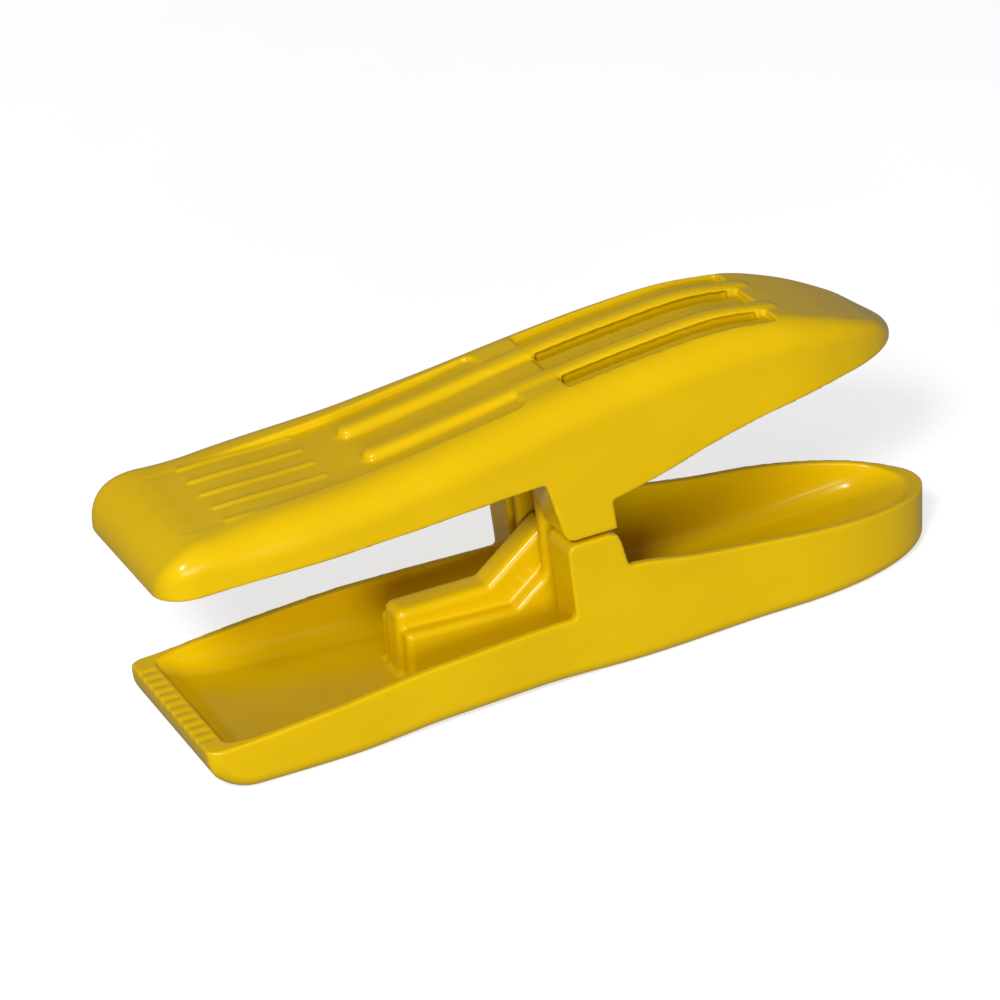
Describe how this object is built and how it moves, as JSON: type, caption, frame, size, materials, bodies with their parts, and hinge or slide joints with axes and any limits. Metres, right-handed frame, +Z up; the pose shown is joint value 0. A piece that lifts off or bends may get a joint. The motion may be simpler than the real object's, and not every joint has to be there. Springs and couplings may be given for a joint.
{
  "type": "plastic spring clip",
  "caption": "Hand clip of two opposed trough-shaped plastic levers on a sprung hinge, with toothed lips, a ribbed nose and a ridged thumb plate.",
  "frame": {"origin": "under the middle of the clip, on the flat base of the lower lever", "axes": "+X from the jaws to the handles, +Y across the clip, +Z up from the base"},
  "size_m": [0.088, 0.0208, 0.0335],
  "materials": {
    "lever_plastic": "glossy injection-moulded, solid yellow",
    "pin_steel": "ground bright steel pin",
    "spring_steel": "drawn spring wire"
  },
  "bodies": {
    "lower": {"lower_lever": "lever_plastic", "torsion_spring": "spring_steel"},
    "upper": {"upper_lever": "lever_plastic", "pivot_pin": "pin_steel"}
  },
  "joints": [
    {"name": "jaw_hinge", "type": "hinge", "parent": "lower", "child": "upper", "pos_m": [0.0008, 0, 0.0206], "axis": [0, 1, 0], "range_deg": [-22, 5], "stiffness_Nm_per_rad": 0.25, "springref_deg": -63.03, "deforming": ["torsion_spring"]}
  ]
}
